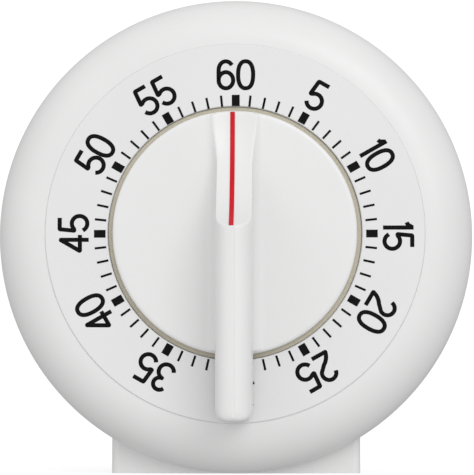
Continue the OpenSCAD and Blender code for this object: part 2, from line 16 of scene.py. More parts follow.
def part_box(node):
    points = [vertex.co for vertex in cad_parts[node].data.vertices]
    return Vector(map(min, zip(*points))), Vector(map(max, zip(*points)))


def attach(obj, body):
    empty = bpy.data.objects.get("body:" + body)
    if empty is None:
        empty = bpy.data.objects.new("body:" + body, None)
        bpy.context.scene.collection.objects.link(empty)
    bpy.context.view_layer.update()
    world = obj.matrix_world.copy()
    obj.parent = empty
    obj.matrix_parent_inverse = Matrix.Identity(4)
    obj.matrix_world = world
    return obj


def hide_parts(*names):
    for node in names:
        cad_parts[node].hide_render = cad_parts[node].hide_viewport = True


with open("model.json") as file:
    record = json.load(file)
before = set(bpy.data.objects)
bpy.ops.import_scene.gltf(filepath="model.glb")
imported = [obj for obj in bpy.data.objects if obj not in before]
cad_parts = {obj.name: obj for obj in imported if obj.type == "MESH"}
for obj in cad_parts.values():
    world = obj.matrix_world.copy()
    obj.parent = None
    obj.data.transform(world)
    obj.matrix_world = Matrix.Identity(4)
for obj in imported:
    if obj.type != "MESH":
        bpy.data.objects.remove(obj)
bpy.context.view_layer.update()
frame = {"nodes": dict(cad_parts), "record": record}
MM = 0.001

# %% [markdown]
# ## Sizes
# Every size that a finished piece shares with the frame is read from the frame's boxes, so the
# looks fit the mechanics. The dial is worked on as it is read: x to the right, y up and z
# forward along the knob's axis. A finished piece is then turned upright and raised to the
# height of that axis.

# %% Read the sizes
RING_GAP = 0.15 * MM      # between rings that drop into one another
RIM_GAP = 0.3 * MM        # between the foot's front and the rim
RIM_STEP = 3 * MM         # from the rim in to the drum
DIAL_PROUD = 0.3 * MM     # how far the dial stands out of the rim
DISC_RISE = 1.5 * MM      # how far the knob's disc stands out of the dial
TAIL_CLEAR = 1 * MM       # under the bar's tail, above the dial
BUSH_FLANGE = 1 * MM
case_lo, case_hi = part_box("front_case")
dial_lo, dial_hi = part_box("dial_ring")
knob_lo, knob_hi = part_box("knob")
foot_lo, foot_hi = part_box("base_foot")
cover_lo, cover_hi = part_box("rear_cover")
spacer_lo, spacer_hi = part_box("spacer_ring")
line_lo, line_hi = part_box("pointer_line")
bush_lo, bush_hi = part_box("arbor_bush")
arbor_lo, arbor_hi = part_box("centre_arbor")

axis_h = (case_lo.z + case_hi.z) / 2
case_r = (case_hi.x - case_lo.x) / 2
dial_z = -dial_lo.y
seat_z = -dial_hi.y
back_z = -case_hi.y
inside_z = -bush_hi.y + BUSH_FLANGE
rim_back = -foot_lo.y + RIM_GAP
dial_r = (dial_hi.x - dial_lo.x) / 2
recess_r = dial_r + RING_GAP
rim_r = case_r - recess_r
drum_r = case_r - RIM_STEP
wall = 2 * MM
bush_r = 5 * MM
rim_z = dial_z - DIAL_PROUD
spacer_r = (spacer_hi.x - spacer_lo.x) / 2
hole_r = spacer_r + RING_GAP
spacer_z = -spacer_lo.y
knob_r = (knob_hi.x - knob_lo.x) / 2
knob_under = -knob_hi.y
bar_top = -knob_lo.y
bar_reach = axis_h - knob_lo.z
knob_top = dial_z + DISC_RISE
bar_w = 7.6 * MM
bar_hw = bar_w / 2
bar_under = dial_z + TAIL_CLEAR
cover_r = (cover_hi.x - cover_lo.x) / 2
cover_z0 = -cover_hi.y
cover_z1 = -cover_lo.y
print("case", round(case_r * 2 / MM, 1), "mm across, axis", round(axis_h / MM, 1), "mm up")

# %% [markdown]
# ## Camera
# The timer is seen almost square on, from a little below its middle and a touch to its right,
# through a long lens, so the round case stays round.

# %% Set up the camera
LENS = 212.66
DISTANCE = 0.6
camera_turn = math.radians(1.0)
camera_rise = math.radians(-3.3)
aim = Vector((0.27 * MM, rim_r - dial_z, axis_h - 0.35 * MM))
direction = Vector((math.sin(camera_turn) * math.cos(camera_rise),
                    -math.cos(camera_turn) * math.cos(camera_rise),
                    math.sin(camera_rise)))
bpy.ops.object.camera_add(location=aim + direction * DISTANCE)
camera = bpy.context.object
camera.name = "studio_camera"
camera.rotation_euler = (-direction).to_track_quat("-Z", "Y").to_euler()
camera.data.lens = LENS
camera.data.clip_start = 0.01
bpy.context.scene.camera = camera
print("camera", round(camera.location.z / MM), "mm above the table")

# %% [markdown]
# ## Helpers for modelling
# Each piece starts as a primitive and is shaped in edit mode. Faces and edges are chosen by
# where they are, so a few small helpers pick them and run the operators.


# %% Modelling helpers
def deselect():
    """Object mode with nothing selected."""
    if bpy.context.object and bpy.context.object.mode != "OBJECT":
        bpy.ops.object.mode_set(mode="OBJECT")
    bpy.ops.object.select_all(action="DESELECT")


def activate(obj):
    deselect()
    obj.select_set(True)
    bpy.context.view_layer.objects.active = obj


def settle(obj, name=None):
    """Moves an object's place, turn and scale into its mesh."""
    activate(obj)
    bpy.ops.object.transform_apply(location=True, rotation=True, scale=True)
    if name:
        obj.name = name
        obj.data.name = name
    return obj


def cylinder(name, r, z0, z1, sides=192, at=(0, 0)):
    deselect()
    bpy.ops.mesh.primitive_cylinder_add(vertices=sides, radius=r, depth=z1 - z0,
                                        location=(at[0], at[1], (z0 + z1) / 2))
    return settle(bpy.context.object, name)


def block(name, low, high):
    deselect()
    low, high = Vector(low), Vector(high)
    bpy.ops.mesh.primitive_cube_add(size=1, location=(low + high) / 2)
    bpy.context.object.scale = high - low
    return settle(bpy.context.object, name)


def pick_faces(obj, test):
    """Edit mode with the faces whose centre and normal pass the test."""
    activate(obj)
    bpy.ops.object.mode_set(mode="EDIT")
    bpy.ops.mesh.select_mode(type="FACE")
    bpy.ops.mesh.select_all(action="DESELECT")
    bpy.ops.object.mode_set(mode="OBJECT")
    for face in obj.data.polygons:
        face.select = test(face.center, face.normal)
    bpy.ops.object.mode_set(mode="EDIT")


def pick_edges(obj, test):
    """Edit mode with the edges whose two ends pass the test."""
    activate(obj)
    bpy.ops.object.mode_set(mode="EDIT")
    bpy.ops.mesh.select_mode(type="EDGE")
    bpy.ops.mesh.select_all(action="DESELECT")
    bpy.ops.object.mode_set(mode="OBJECT")
    points = obj.data.vertices
    for edge in obj.data.edges:
        a, b = (points[i].co for i in edge.vertices)
        edge.select = test(a, b)
    bpy.ops.object.mode_set(mode="EDIT")


def near(a, b, gap=0.02 * MM):
    return abs(a - b) < gap


def facing(z, side):
    """A test for the flat face at height z that looks forward (1) or back (-1)."""
    return lambda c, n: near(c.z, z) and n.z * side > 0.9


def ring_at(z, r=None):
    """A test for the edges of a ring at height z, and of radius r if it is given."""
    def test(a, b):
        level = near(a.z, z) and near(b.z, z)
        return level and (r is None or (near(a.xy.length, r) and near(b.xy.length, r)))
    return test


def push(z):
    """Extrudes the chosen faces along the knob's axis."""
    bpy.ops.mesh.extrude_region_move(TRANSFORM_OT_translate={"value": (0, 0, z)})


def bevel_edges(obj, test, width, segments, profile=0.5):
    pick_edges(obj, test)
    bpy.ops.mesh.bevel(offset=width, segments=segments, profile=profile, affect="EDGES",
                       clamp_overlap=False)
    bpy.ops.object.mode_set(mode="OBJECT")


def apply_modifier(obj, kind, **values):
    activate(obj)
    modifier = obj.modifiers.new(kind.lower(), kind)
    for key, value in values.items():
        setattr(modifier, key, value)
    bpy.ops.object.modifier_apply(modifier=modifier.name)


def carve(obj, tool, operation="DIFFERENCE"):
    """Joins or cuts obj with a tool, which is then thrown away."""
    apply_modifier(obj, "BOOLEAN", operation=operation, object=tool, solver="EXACT")
    bpy.data.objects.remove(tool)


def join(objects):
    deselect()
    for obj in objects:
        obj.select_set(True)
    bpy.context.view_layer.objects.active = objects[0]
    bpy.ops.object.join()
    return bpy.context.object


def soften(obj, width=0.2 * MM, segments=2, angle=35):
    """Rounds the sharp edges a little, as a mould does."""
    apply_modifier(obj, "BEVEL", width=width, segments=segments, limit_method="ANGLE",
                   angle_limit=math.radians(angle), use_clamp_overlap=True)


def shade(obj, angle=30):
    activate(obj)
    bpy.ops.object.shade_smooth_by_angle(angle=math.radians(angle))
    apply_modifier(obj, "WEIGHTED_NORMAL", keep_sharp=True, weight=80)


def into_case(obj):
    """Turns a piece from the dial's own directions to its place in the standing timer."""
    obj.matrix_world = Matrix.Translation((0, 0, axis_h)) @ Matrix.Rotation(math.pi / 2, 4, "X")
    return settle(obj)


def finish_piece(obj, body, nodes, material):
    """Puts a finished piece in place on its body and hides the frame pieces it stands for."""
    into_case(obj)
    obj.data.materials.clear()
    obj.data.materials.append(material)
    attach(obj, body)
    if nodes:
        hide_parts(*nodes)
    print(obj.name, len(obj.data.polygons), "faces")


# %% [markdown]
# ## Materials
# The case, the dial and the knob are white moulded plastic, each a slightly different white. The
# surface of such a moulding is never perfectly even: a very fine grain, a soft waviness from the
# mould and faint rub marks all change how it shines, so noise on the object's own coordinates
# drives the roughness, the bump and a trace of the colour.


# %% Material helpers
def new_material(name):
    material = bpy.data.materials.new(name)
    material.use_nodes = True
    nodes = material.node_tree.nodes
    return material, nodes, material.node_tree.links, nodes["Principled BSDF"]


def noise(nodes, links, scale, detail=4.0, roughness=0.55, stretch=(1, 1, 1)):
    """Noise on object coordinates, stretched along an axis where the grain has a direction."""
    where = nodes.new("ShaderNodeTexCoord")
    mapping = nodes.new("ShaderNodeMapping")
    mapping.inputs["Scale"].default_value = stretch
    texture = nodes.new("ShaderNodeTexNoise")
    texture.inputs["Scale"].default_value = scale
    texture.inputs["Detail"].default_value = detail
    texture.inputs["Roughness"].default_value = roughness
    links.new(where.outputs["Object"], mapping.inputs["Vector"])
    links.new(mapping.outputs["Vector"], texture.inputs["Vector"])
    return texture.outputs["Fac"]


def ramp(nodes, links, source, stops):
    """A colour ramp with (position, colour) stops."""
    node = nodes.new("ShaderNodeValToRGB")
    elements = node.color_ramp.elements
    while len(elements) < len(stops):
        elements.new(0.5)
    for element, (position, colour) in zip(elements, stops):
        element.position = position
        element.color = (*colour, 1)
    links.new(source, node.inputs["Fac"])
    return node.outputs["Color"]


def remap(nodes, links, source, low, high, start=0.3, end=0.7):
    node = nodes.new("ShaderNodeMapRange")
    node.inputs["From Min"].default_value = start
    node.inputs["From Max"].default_value = end
    node.inputs["To Min"].default_value = low
    node.inputs["To Max"].default_value = high
    links.new(source, node.inputs["Value"])
    return node.outputs["Result"]


def bump(nodes, links, height, distance, strength, below=None):
    node = nodes.new("ShaderNodeBump")
    node.inputs["Distance"].default_value = distance
    node.inputs["Strength"].default_value = strength
    links.new(height, node.inputs["Height"])
    if below is not None:
        links.new(below, node.inputs["Normal"])
    return node.outputs["Normal"]


def shaded(colour, factor):
    return tuple(min(1, c * factor) for c in colour)


# %% White moulded plastic
def plastic(name, colour, rough, grain, waviness=0.25):
    material, nodes, links, shader = new_material(name)
    cloud = noise(nodes, links, 45, detail=3)
    tint = ramp(nodes, links, cloud, [(0.3, shaded(colour, 0.985)), (0.7, shaded(colour, 1.01))])
    links.new(tint, shader.inputs["Base Color"])
    rub = noise(nodes, links, 320, detail=6, roughness=0.7, stretch=(1, 1, 0.35))
    links.new(remap(nodes, links, rub, rough - 0.05, rough + 0.07), shader.inputs["Roughness"])
    wave = bump(nodes, links, noise(nodes, links, 70, detail=1), 0.12 * MM, waviness)
    fine = bump(nodes, links, noise(nodes, links, 5200, detail=2), 0.02 * MM, grain, wave)
    links.new(fine, shader.inputs["Normal"])
    shader.inputs["IOR"].default_value = 1.53
    shader.inputs["Coat Weight"].default_value = 0.12
    shader.inputs["Coat Roughness"].default_value = 0.22
    return material


case_plastic = plastic("white_case_plastic", (0.80, 0.80, 0.797), 0.42, 0.16)
dial_plastic = plastic("white_dial_plastic", (0.79, 0.79, 0.79), 0.46, 0.12, waviness=0.1)
knob_plastic = plastic("white_knob_plastic", (0.815, 0.815, 0.812), 0.38, 0.12)
print("three white plastics")

# %% [markdown]
# ## Print, paint and card
# The numerals are printed in black ink with a slightly uneven film, the pointer is a brushed-on
# red line, and the ring in the gap around the knob is beige fibre card.


# %% Print, paint and card
def ink():
    material, nodes, links, shader = new_material("black_ink")
    film = noise(nodes, links, 900, detail=3)
    tint = ramp(nodes, links, film, [(0.3, (0.003, 0.003, 0.0035)), (0.75, (0.007, 0.007, 0.0075))])
    links.new(tint, shader.inputs["Base Color"])
    links.new(remap(nodes, links, film, 0.42, 0.6), shader.inputs["Roughness"])
    links.new(bump(nodes, links, noise(nodes, links, 6000), 0.01 * MM, 0.15), shader.inputs["Normal"])
    shader.inputs["Specular IOR Level"].default_value = 0.07
    return material


def red_paint():
    material, nodes, links, shader = new_material("red_pointer_paint")
    streak = noise(nodes, links, 1500, detail=4, stretch=(1, 0.15, 0.15))
    tint = ramp(nodes, links, streak, [(0.3, (0.54, 0.006, 0.014)), (0.72, (0.66, 0.012, 0.022))])
    links.new(tint, shader.inputs["Base Color"])
    links.new(remap(nodes, links, streak, 0.35, 0.5), shader.inputs["Roughness"])
    links.new(bump(nodes, links, streak, 0.02 * MM, 0.3), shader.inputs["Normal"])
    shader.inputs["Specular IOR Level"].default_value = 0.15
    return material


def fibre_card():
    material, nodes, links, shader = new_material("beige_fibre_card")
    fibre = noise(nodes, links, 2600, detail=5, roughness=0.7)
    tint = ramp(nodes, links, fibre, [(0.3, (0.57, 0.53, 0.42)), (0.7, (0.66, 0.615, 0.5))])
    links.new(tint, shader.inputs["Base Color"])
    links.new(remap(nodes, links, fibre, 0.78, 0.92), shader.inputs["Roughness"])
    links.new(bump(nodes, links, fibre, 0.05 * MM, 0.35), shader.inputs["Normal"])
    return material


black_ink = ink()
pointer_paint = red_paint()
card = fibre_card()

# %% [markdown]
# ## Metals of the movement
# Stamped brass keeps the fine grain of the rolled sheet, turned steel pieces show a tighter one,
# and the springs are blued. The grain is noise stretched along one direction, which shifts the
# roughness and the bump.


# %% Metals
def metal(name, colour, rough, grain_scale, stretch, tarnish=0.88):
    material, nodes, links, shader = new_material(name)
    shader.inputs["Metallic"].default_value = 1.0
    stain = noise(nodes, links, 110, detail=5)
    tint = ramp(nodes, links, stain, [(0.35, shaded(colour, tarnish)), (0.65, colour)])
    links.new(tint, shader.inputs["Base Color"])
    grain = noise(nodes, links, grain_scale, detail=3, stretch=stretch)
    links.new(remap(nodes, links, grain, rough - 0.08, rough + 0.1), shader.inputs["Roughness"])
    links.new(bump(nodes, links, grain, 0.02 * MM, 0.25), shader.inputs["Normal"])
    return material


slot_materials = {
    "plated_steel": metal("bright_plated_steel", (0.62, 0.63, 0.65), 0.3, 2500, (1, 0.2, 1)),
    "clock_brass": metal("stamped_clock_brass", (0.78, 0.58, 0.25), 0.28, 1800, (0.08, 1, 1)),
    "spring_steel": metal("blued_spring_steel", (0.16, 0.2, 0.3), 0.3, 2200, (1, 0.1, 1)),
    "bell_metal": metal("nickel_plated_bell", (0.74, 0.73, 0.7), 0.16, 1400, (1, 1, 0.1), 0.94),
    "black_print": black_ink,
    "spacer_card": card,
    "pointer_red": pointer_paint,
    "case_white": case_plastic,
    "dial_white": dial_plastic,
    "knob_white": knob_plastic,
}
for entry in frame["record"]["subparts"]:
    node = frame["nodes"][entry["node"]]
    node.data.materials.clear()
    node.data.materials.append(slot_materials[entry["material_slot"]])
print(len(slot_materials), "finishes on", len(frame["nodes"]), "frame pieces")

# %% [markdown]
# ## The case
# The case is one moulding: a thick disc whose front edge is rounded over by 10.5 mm, a recess
# for the dial, and a narrower drum behind. It could be turned from a profile, but a cylinder
# shows the steps better: bevel the front edge into the rim, then inset and push the back out
# into a drum and hollow it. The recess for the dial is cut last.

# %% Model the case
SHOULDER = 1 * MM
case = cylinder("case_shell", case_r, rim_back, rim_z)
bevel_edges(case, ring_at(rim_z), rim_r, 28)
bevel_edges(case, ring_at(rim_back, case_r), SHOULDER, 4)
pick_faces(case, facing(rim_back, -1))
bpy.ops.mesh.inset(thickness=case_r - SHOULDER - drum_r)
push(back_z - rim_back)
bpy.ops.mesh.inset(thickness=wall)
push(inside_z - back_z)
bpy.ops.object.mode_set(mode="OBJECT")
print("case wall", round(wall / MM, 1), "mm, front wall", round((seat_z - inside_z) / MM, 1), "mm")

# %% [markdown]
# The back shows how the shell is made: the rim is hollow, so that the plastic is about as thick
# everywhere. A cylinder with a rounded edge, cut flat with a bisect, is the space inside the
# rim. Tubes are the posts for the rear cover's screws and the bosses for the movement. Booleans
# take the first out of the shell, add the others and then drill every hole.


# %% Hollow the rim, add posts and bosses, drill holes
def around(r, degrees):
    return (r * math.cos(math.radians(degrees)), r * math.sin(math.radians(degrees)))


RIM_WALL = 2.6 * MM
hollow_edge = rim_r - RIM_WALL
hollow = cylinder("hollow", recess_r + hollow_edge, rim_back + wall, dial_z - RIM_WALL)
bevel_edges(hollow, ring_at(dial_z - RIM_WALL), hollow_edge, 12)
activate(hollow)
bpy.ops.object.mode_set(mode="EDIT")
bpy.ops.mesh.select_all(action="SELECT")
bpy.ops.mesh.bisect(plane_co=(0, 0, inside_z), plane_no=(0, 0, 1), use_fill=True,
                    clear_outer=True)
bpy.ops.object.mode_set(mode="OBJECT")
carve(case, hollow)

POST_R, POST_INSET, POST_HOLE_R, POST_HOLE_DEPTH = 4.5 * MM, 4 * MM, 1.45 * MM, 9 * MM
BOSS_R, BOSS_CIRCLE, BOSS_HOLE_R, BOSS_HOLE_DEPTH = 2.8 * MM, 33 * MM, 1.05 * MM, 5 * MM
ROOT = 0.5 * MM           # how far a post or boss reaches into the front wall
FOOT_SCREW_X, FOOT_SCREW_HOLE_R = 14 * MM, 1.6 * MM
post_pr = drum_r - wall - POST_INSET
boss_z = -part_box("front_plate")[0].y
post_places = [around(post_pr, a) for a in (45, 135, 225, 315)]
boss_places = [around(BOSS_CIRCLE, a) for a in (15, 120, 210, 285)]
tubes = [cylinder("post", POST_R, cover_z1, inside_z + ROOT, 48, p) for p in post_places]
tubes += [cylinder("boss", BOSS_R, boss_z, inside_z + ROOT, 32, p) for p in boss_places]
for tube in tubes:
    carve(case, tube, "UNION")
holes = [cylinder("hole", POST_HOLE_R, cover_z1 - MM, cover_z1 + POST_HOLE_DEPTH, 24, p)
         for p in post_places]
holes += [cylinder("hole", BOSS_HOLE_R, boss_z - MM, boss_z + BOSS_HOLE_DEPTH, 24, p)
          for p in boss_places]
holes.append(cylinder("hole", bush_r, inside_z - MM, seat_z + MM, 64))
for side in (-1, 1):
    hole = cylinder("hole", FOOT_SCREW_HOLE_R, 0, 12 * MM, 24)
    hole.matrix_world = (Matrix.Translation((side * FOOT_SCREW_X, 6 * MM - drum_r, 0))
                         @ Matrix.Rotation(math.pi / 2, 4, "X"))
    holes.append(settle(hole))
carve(case, join(holes))
soften(case, 0.25 * MM, 2, 50)
carve(case, cylinder("recess", recess_r, seat_z, dial_z + MM))
shade(case)
finish_piece(case, "timer_case", ["front_case"], case_plastic)

# %% [markdown]
# ## The dial ring
# The dial is a flat ring dropped into the recess. It stands 0.3 mm proud of the rim, so its
# rounded outer edge draws the fine circle that is seen inside the rim.


# %% Model the rings
def flat_ring(name, r_out, r_in, z0, z1, edge):
    """A washer: two nested circles of faces, with the middle bridged away."""
    ring = cylinder(name, r_out, z0, z1)
    pick_faces(ring, lambda c, n: abs(n.z) > 0.9)
    bpy.ops.mesh.inset(thickness=r_out - r_in)
    bpy.ops.mesh.bridge_edge_loops()
    bpy.ops.object.mode_set(mode="OBJECT")
    soften(ring, edge, 3, 50)
    shade(ring)
    return ring


DIAL_GAP, DIAL_EDGE, CARD_EDGE = 0.02 * MM, 0.27 * MM, 0.06 * MM
dial = flat_ring("dial_face", recess_r - DIAL_GAP, hole_r, seat_z, dial_z, DIAL_EDGE)
finish_piece(dial, "timer_case", ["dial_ring"], dial_plastic)
spacer = flat_ring("fibre_spacer", spacer_r, bush_r + 2 * MM, seat_z, spacer_z,
                   CARD_EDGE)
finish_piece(spacer, "timer_case", ["spacer_ring"], card)

# %% [markdown]
# ## Numerals
# The numerals are printed with an even stroke, like a drawing pen's, and every one stands on
# the dial's centre, so its top points outwards. Ordinary type has strokes of changing width, so
# each digit is drawn here as the path of the pen. A curve with a round bevel gives the path its
# width, it becomes a mesh, and it is then flattened to a film of ink. The print is a little off
# the dial's middle and a little lower than it is wide, as pad printing often is.

# %% Draw the digits
STROKE = 0.9              # the pen's width in millimetres
HALF_HIGH = 2.9           # from a digit's middle to the pen at its top
INK_FILM = 0.05 * MM      # thickness of the print
INK_LIFT = 0.008 * MM     # of the film's middle above the dial
PRINT_SCALE = (1.003, 0.986)
PRINT_SHIFT = (0.19 * MM, -0.15 * MM)


def arc(cx, cy, rx, ry, start, end, steps=14):
    """Points of an ellipse's arc, in millimetres."""
    turn = [math.radians(start + (end - start) * i / steps) for i in range(steps + 1)]
    return [(cx + rx * math.cos(t), cy + ry * math.sin(t)) for t in turn]


def oval(rx, ry, square, steps=36):
    """A closed oval; a square above 2 makes its sides straighter."""
    points = []
    for i in range(steps):
        c, s = math.cos(2 * math.pi * i / steps), math.sin(2 * math.pi * i / steps)
        points.append((math.copysign(abs(c) ** (2 / square), c) * rx,
                       math.copysign(abs(s) ** (2 / square), s) * ry))
    return points


# each digit is a list of pen paths, with whether a path closes on itself
DIGITS = {
    "0": [(oval(1.58, HALF_HIGH, 2.35), True)],
    "1": [([(0.25, -3.2), (0.25, 3.2)], False),
          ([(0.15, 2.9)] + arc(-1.2, 3.1, 1.25, 1.4, -22, -75, 6), False)],
    "2": [(arc(0, 1.38, 1.5, 1.52, 172, -32) + arc(2.2, -3.6, 3.8, 3.6, 118, 166, 8)[1:]
           + [(-1.58, -HALF_HIGH), (1.7, -HALF_HIGH)], False)],
    "3": [(arc(-0.05, 1.6, 1.32, 1.3, 158, -90) + arc(-0.05, -1.3, 1.6, 1.6, 90, -158)[1:],
           False)],
    "4": [([(0.8, -3.2), (0.8, 2.75), (-1.6, -1.35), (1.84, -1.35)], False)],
    "5": [([(1.35, HALF_HIGH), (-1.1, HALF_HIGH), (-1.4, -0.2)]
           + arc(0.12, -1.27, 1.62, 1.63, 148, -155, 20)[1:], False)],
    "6": [(arc(-0.02, 1.1, 1.5, 1.8, 32, 180, 10) + [(-1.53, -0.4)]
           + arc(0, -1.17, 1.53, 1.73, 180, 539, 32)[1:], False)],
}
print("digits drawn:", "".join(DIGITS))


# %% Set the numerals around the dial
def round_corners(points, radius=0.16, steps=5):
    """Puts a small arc in place of every sharp corner, so that the pen keeps its width there."""
    out = [points[0]]
    for before, here, after in zip(points, points[1:], points[2:]):
        a = (Vector(before) - Vector(here)).normalized()
        b = (Vector(after) - Vector(here)).normalized()
        if a.dot(b) < -0.8:
            out.append(here)
            continue
        for i in range(steps + 1):
            t = i / steps
            curve_point = a * (1 - t) ** 2 + b * t ** 2
            out.append(tuple(Vector(here) + curve_point * radius))
    return out + [points[-1]]


def pen_path(curve, points, closed, origin, turn):
    points = points if closed else round_corners(points)
    spline = curve.splines.new("POLY")
    spline.points.add(len(points) - 1)
    for point, (x, y) in zip(spline.points, points):
        flat = turn @ Vector((origin + x, y, 0)) * MM
        point.co = (*flat, 1)
    spline.use_cyclic_u = closed


NUMERAL_R = 34.03
PITCH, PITCH_ONE = 4.15, 3.05
numerals_curve = bpy.data.curves.new("dial_numerals", "CURVE")
numerals_curve.dimensions = "3D"
numerals_curve.bevel_depth = STROKE / 2 * MM
numerals_curve.bevel_resolution = 3
numerals_curve.use_fill_caps = True
for minutes in range(5, 65, 5):
    text = str(minutes)
    pitch = PITCH_ONE if text.startswith("1") else PITCH
    turn = Matrix.Rotation(math.radians(-6 * minutes), 3, "Z")
    for i, digit in enumerate(text):
        across = (i - (len(text) - 1) / 2) * pitch
        for points, closed in DIGITS[digit]:
            moved = [(x, y + NUMERAL_R) for x, y in points]
            pen_path(numerals_curve, moved, closed, across, turn)
numerals = bpy.data.objects.new("dial_numerals", numerals_curve)
bpy.context.collection.objects.link(numerals)
activate(numerals)
bpy.ops.object.convert(target="MESH")
numerals = bpy.context.object
numerals.scale = (*PRINT_SCALE, INK_FILM / (STROKE * MM))
numerals.location = (*PRINT_SHIFT, dial_z + INK_LIFT)
settle(numerals, "dial_numerals")
activate(numerals)
bpy.ops.object.shade_smooth()
finish_piece(numerals, "timer_case", [], black_ink)

# %% [markdown]
# The minute marks belong to the same print, so they share its small stretch and shift. A wide
# and a thin mark are modelled once, and a copy of one of them is turned to each minute.

# %% Set the minute marks around the dial
MARK_IN, MARK_OUT = 27.3 * MM, 29.72 * MM
WIDE, THIN = 1.65 * MM, 0.48 * MM


def minute_mark(width):
    return block("mark", (-width / 2, MARK_IN, -INK_FILM / 2), (width / 2, MARK_OUT, INK_FILM / 2))


patterns = {True: minute_mark(WIDE), False: minute_mark(THIN)}
marks = []
for minute in range(60):
    mark = patterns[minute % 5 == 0].copy()
    mark.data = mark.data.copy()
    bpy.context.collection.objects.link(mark)
    mark.matrix_world = Matrix.Rotation(math.radians(-6 * minute), 4, "Z")
    marks.append(settle(mark))
for pattern in patterns.values():
    bpy.data.objects.remove(pattern)
marks = join(marks)
marks.scale = (*PRINT_SCALE, 1)
marks.location = (*PRINT_SHIFT, dial_z + INK_LIFT)
settle(marks, "minute_marks")
finish_piece(marks, "timer_case", ["dial_marks"], black_ink)

# %% [markdown]
# ## The knob
# The knob is one moulding: a thin disc and a finger bar. The bar has upright sides, a round
# crown and a rounded tail that overhangs the dial. It is a cube whose edges get a bevel weight
# each, because crown, tail end and tail corners have different radii and have to flow into one
# another, as a finger feels them. What is below the tail is cut away to clear the dial.

# %% Model the finger bar
TALL = bar_top + 10 * MM
CROWN, TAIL_END, TAIL_CORNER = bar_hw - 0.02 * MM, 1.5 * MM, 2.2 * MM
SINK = 0.5 * MM           # the bar and fillets start this far up inside the disc
TOP_INSET = 0.3 * MM      # the bar's top end stops this far inside the disc's edge
bar = block("knob_moulding", (-bar_hw, -bar_reach, knob_under + SINK),
            (bar_hw, knob_r - TOP_INSET, bar_top))
weights = bar.data.attributes.new("bevel_weight_edge", "FLOAT", "EDGE")
for edge, weight in zip(bar.data.edges, weights.data):
    a, b = (bar.data.vertices[i].co for i in edge.vertices)
    on_top = near(a.z, bar_top) and near(b.z, bar_top)
    at_tail = near(a.y, -bar_reach) and near(b.y, -bar_reach)
    radius = 0
    if on_top and near(a.x, b.x):
        radius = CROWN
    elif on_top and at_tail:
        radius = TAIL_END
    elif at_tail and near(a.x, b.x):
        radius = TAIL_CORNER
    weight.value = radius / CROWN
apply_modifier(bar, "BEVEL", width=CROWN, segments=16, limit_method="WEIGHT",
               use_clamp_overlap=False)
carve(bar, block("under", (-bar_w, -bar_reach - MM, 0), (bar_w, -knob_r + 2 * MM, bar_under)))
print("finger bar", len(bar.data.polygons), "faces")

# %% [markdown]
# Hollow fillets run along both sides of the bar where it meets the disc: a low block with a
# cylinder taken out of each side. The scoop that makes room for the pointer line is a valley
# with a round floor, such as a fat wheel leaves, so a torus is taken out of the bar and the
# fillets. The disc is a cylinder, and it is added last, so the scoop never cuts it.

# %% Add the fillets, the scoop and the disc
FILLET = 2.6 * MM
fillet_x = bar_hw + FILLET
fillet_z = knob_top + FILLET - 0.04 * MM
fillets = block("fillets", (-fillet_x, -knob_r, knob_under + SINK),
                (fillet_x, knob_r - TOP_INSET, fillet_z))
for side in (-1, 1):
    rod = cylinder("rod", FILLET, -knob_r * 2, knob_r * 2, 96)
    rod.matrix_world = (Matrix.Translation((side * fillet_x, 0, fillet_z))
                        @ Matrix.Rotation(math.pi / 2, 4, "X"))
    carve(fillets, settle(rod))
carve(fillets, cylinder("round", knob_r - 0.45 * MM, 0, TALL), "INTERSECT")
carve(bar, fillets, "UNION")
SCOOP_R = 27.2 * MM       # of the wheel
HOLLOW_R = 12 * MM        # of its tread
SCOOP_FLAT = 1.04 * MM    # half width of the flat under the pointer line
SCOOP_LIFT = 0.15 * MM    # the wheel stays this far above the disc
DISC_EDGE = 0.5 * MM
scoop_y = knob_r - TOP_INSET
scoop_z = knob_top + SCOOP_LIFT + SCOOP_R
deselect()
bpy.ops.mesh.primitive_torus_add(location=(0, scoop_y, scoop_z), rotation=(0, math.pi / 2, 0),
                                 major_radius=SCOOP_R - HOLLOW_R, minor_radius=HOLLOW_R,
                                 major_segments=360, minor_segments=96)
scoop = settle(bpy.context.object, "scoop")
for side in (-1, 1):
    pick_edges(scoop, lambda a, b: a.x * side > 0.01 * MM and b.x * side > 0.01 * MM)
    bpy.ops.transform.translate(value=(side * SCOOP_FLAT, 0, 0))
    bpy.ops.object.mode_set(mode="OBJECT")
carve(bar, scoop)
disc = cylinder("disc", knob_r, knob_under, knob_top)
bevel_edges(disc, ring_at(knob_top), DISC_EDGE, 5)
carve(bar, disc, "UNION")
print("knob before its edges melt:", len(bar.data.polygons), "faces")

# %% [markdown]
# A mould never leaves an edge sharp. Rounding each edge of this shape with a bevel would tangle
# where the scoop, the crown and the fillets meet, so the whole shape is remeshed into fine even
# faces and smoothed a few times, which melts its edges together.

# %% Melt the edges together
VOXEL = 0.3 * MM
activate(bar)
bar.data.remesh_voxel_size = VOXEL
bar.data.remesh_voxel_adaptivity = 0
bpy.ops.object.voxel_remesh()
apply_modifier(bar, "SMOOTH", factor=0.5, iterations=9)
print("knob", len(bar.data.polygons), "faces")

# %% [markdown]
# A hair-thin parting line runs along the crown. Underneath there is a pocket that saves plastic
# and a bore with a flat that grips the arbor. They are cut last, so they stay crisp.

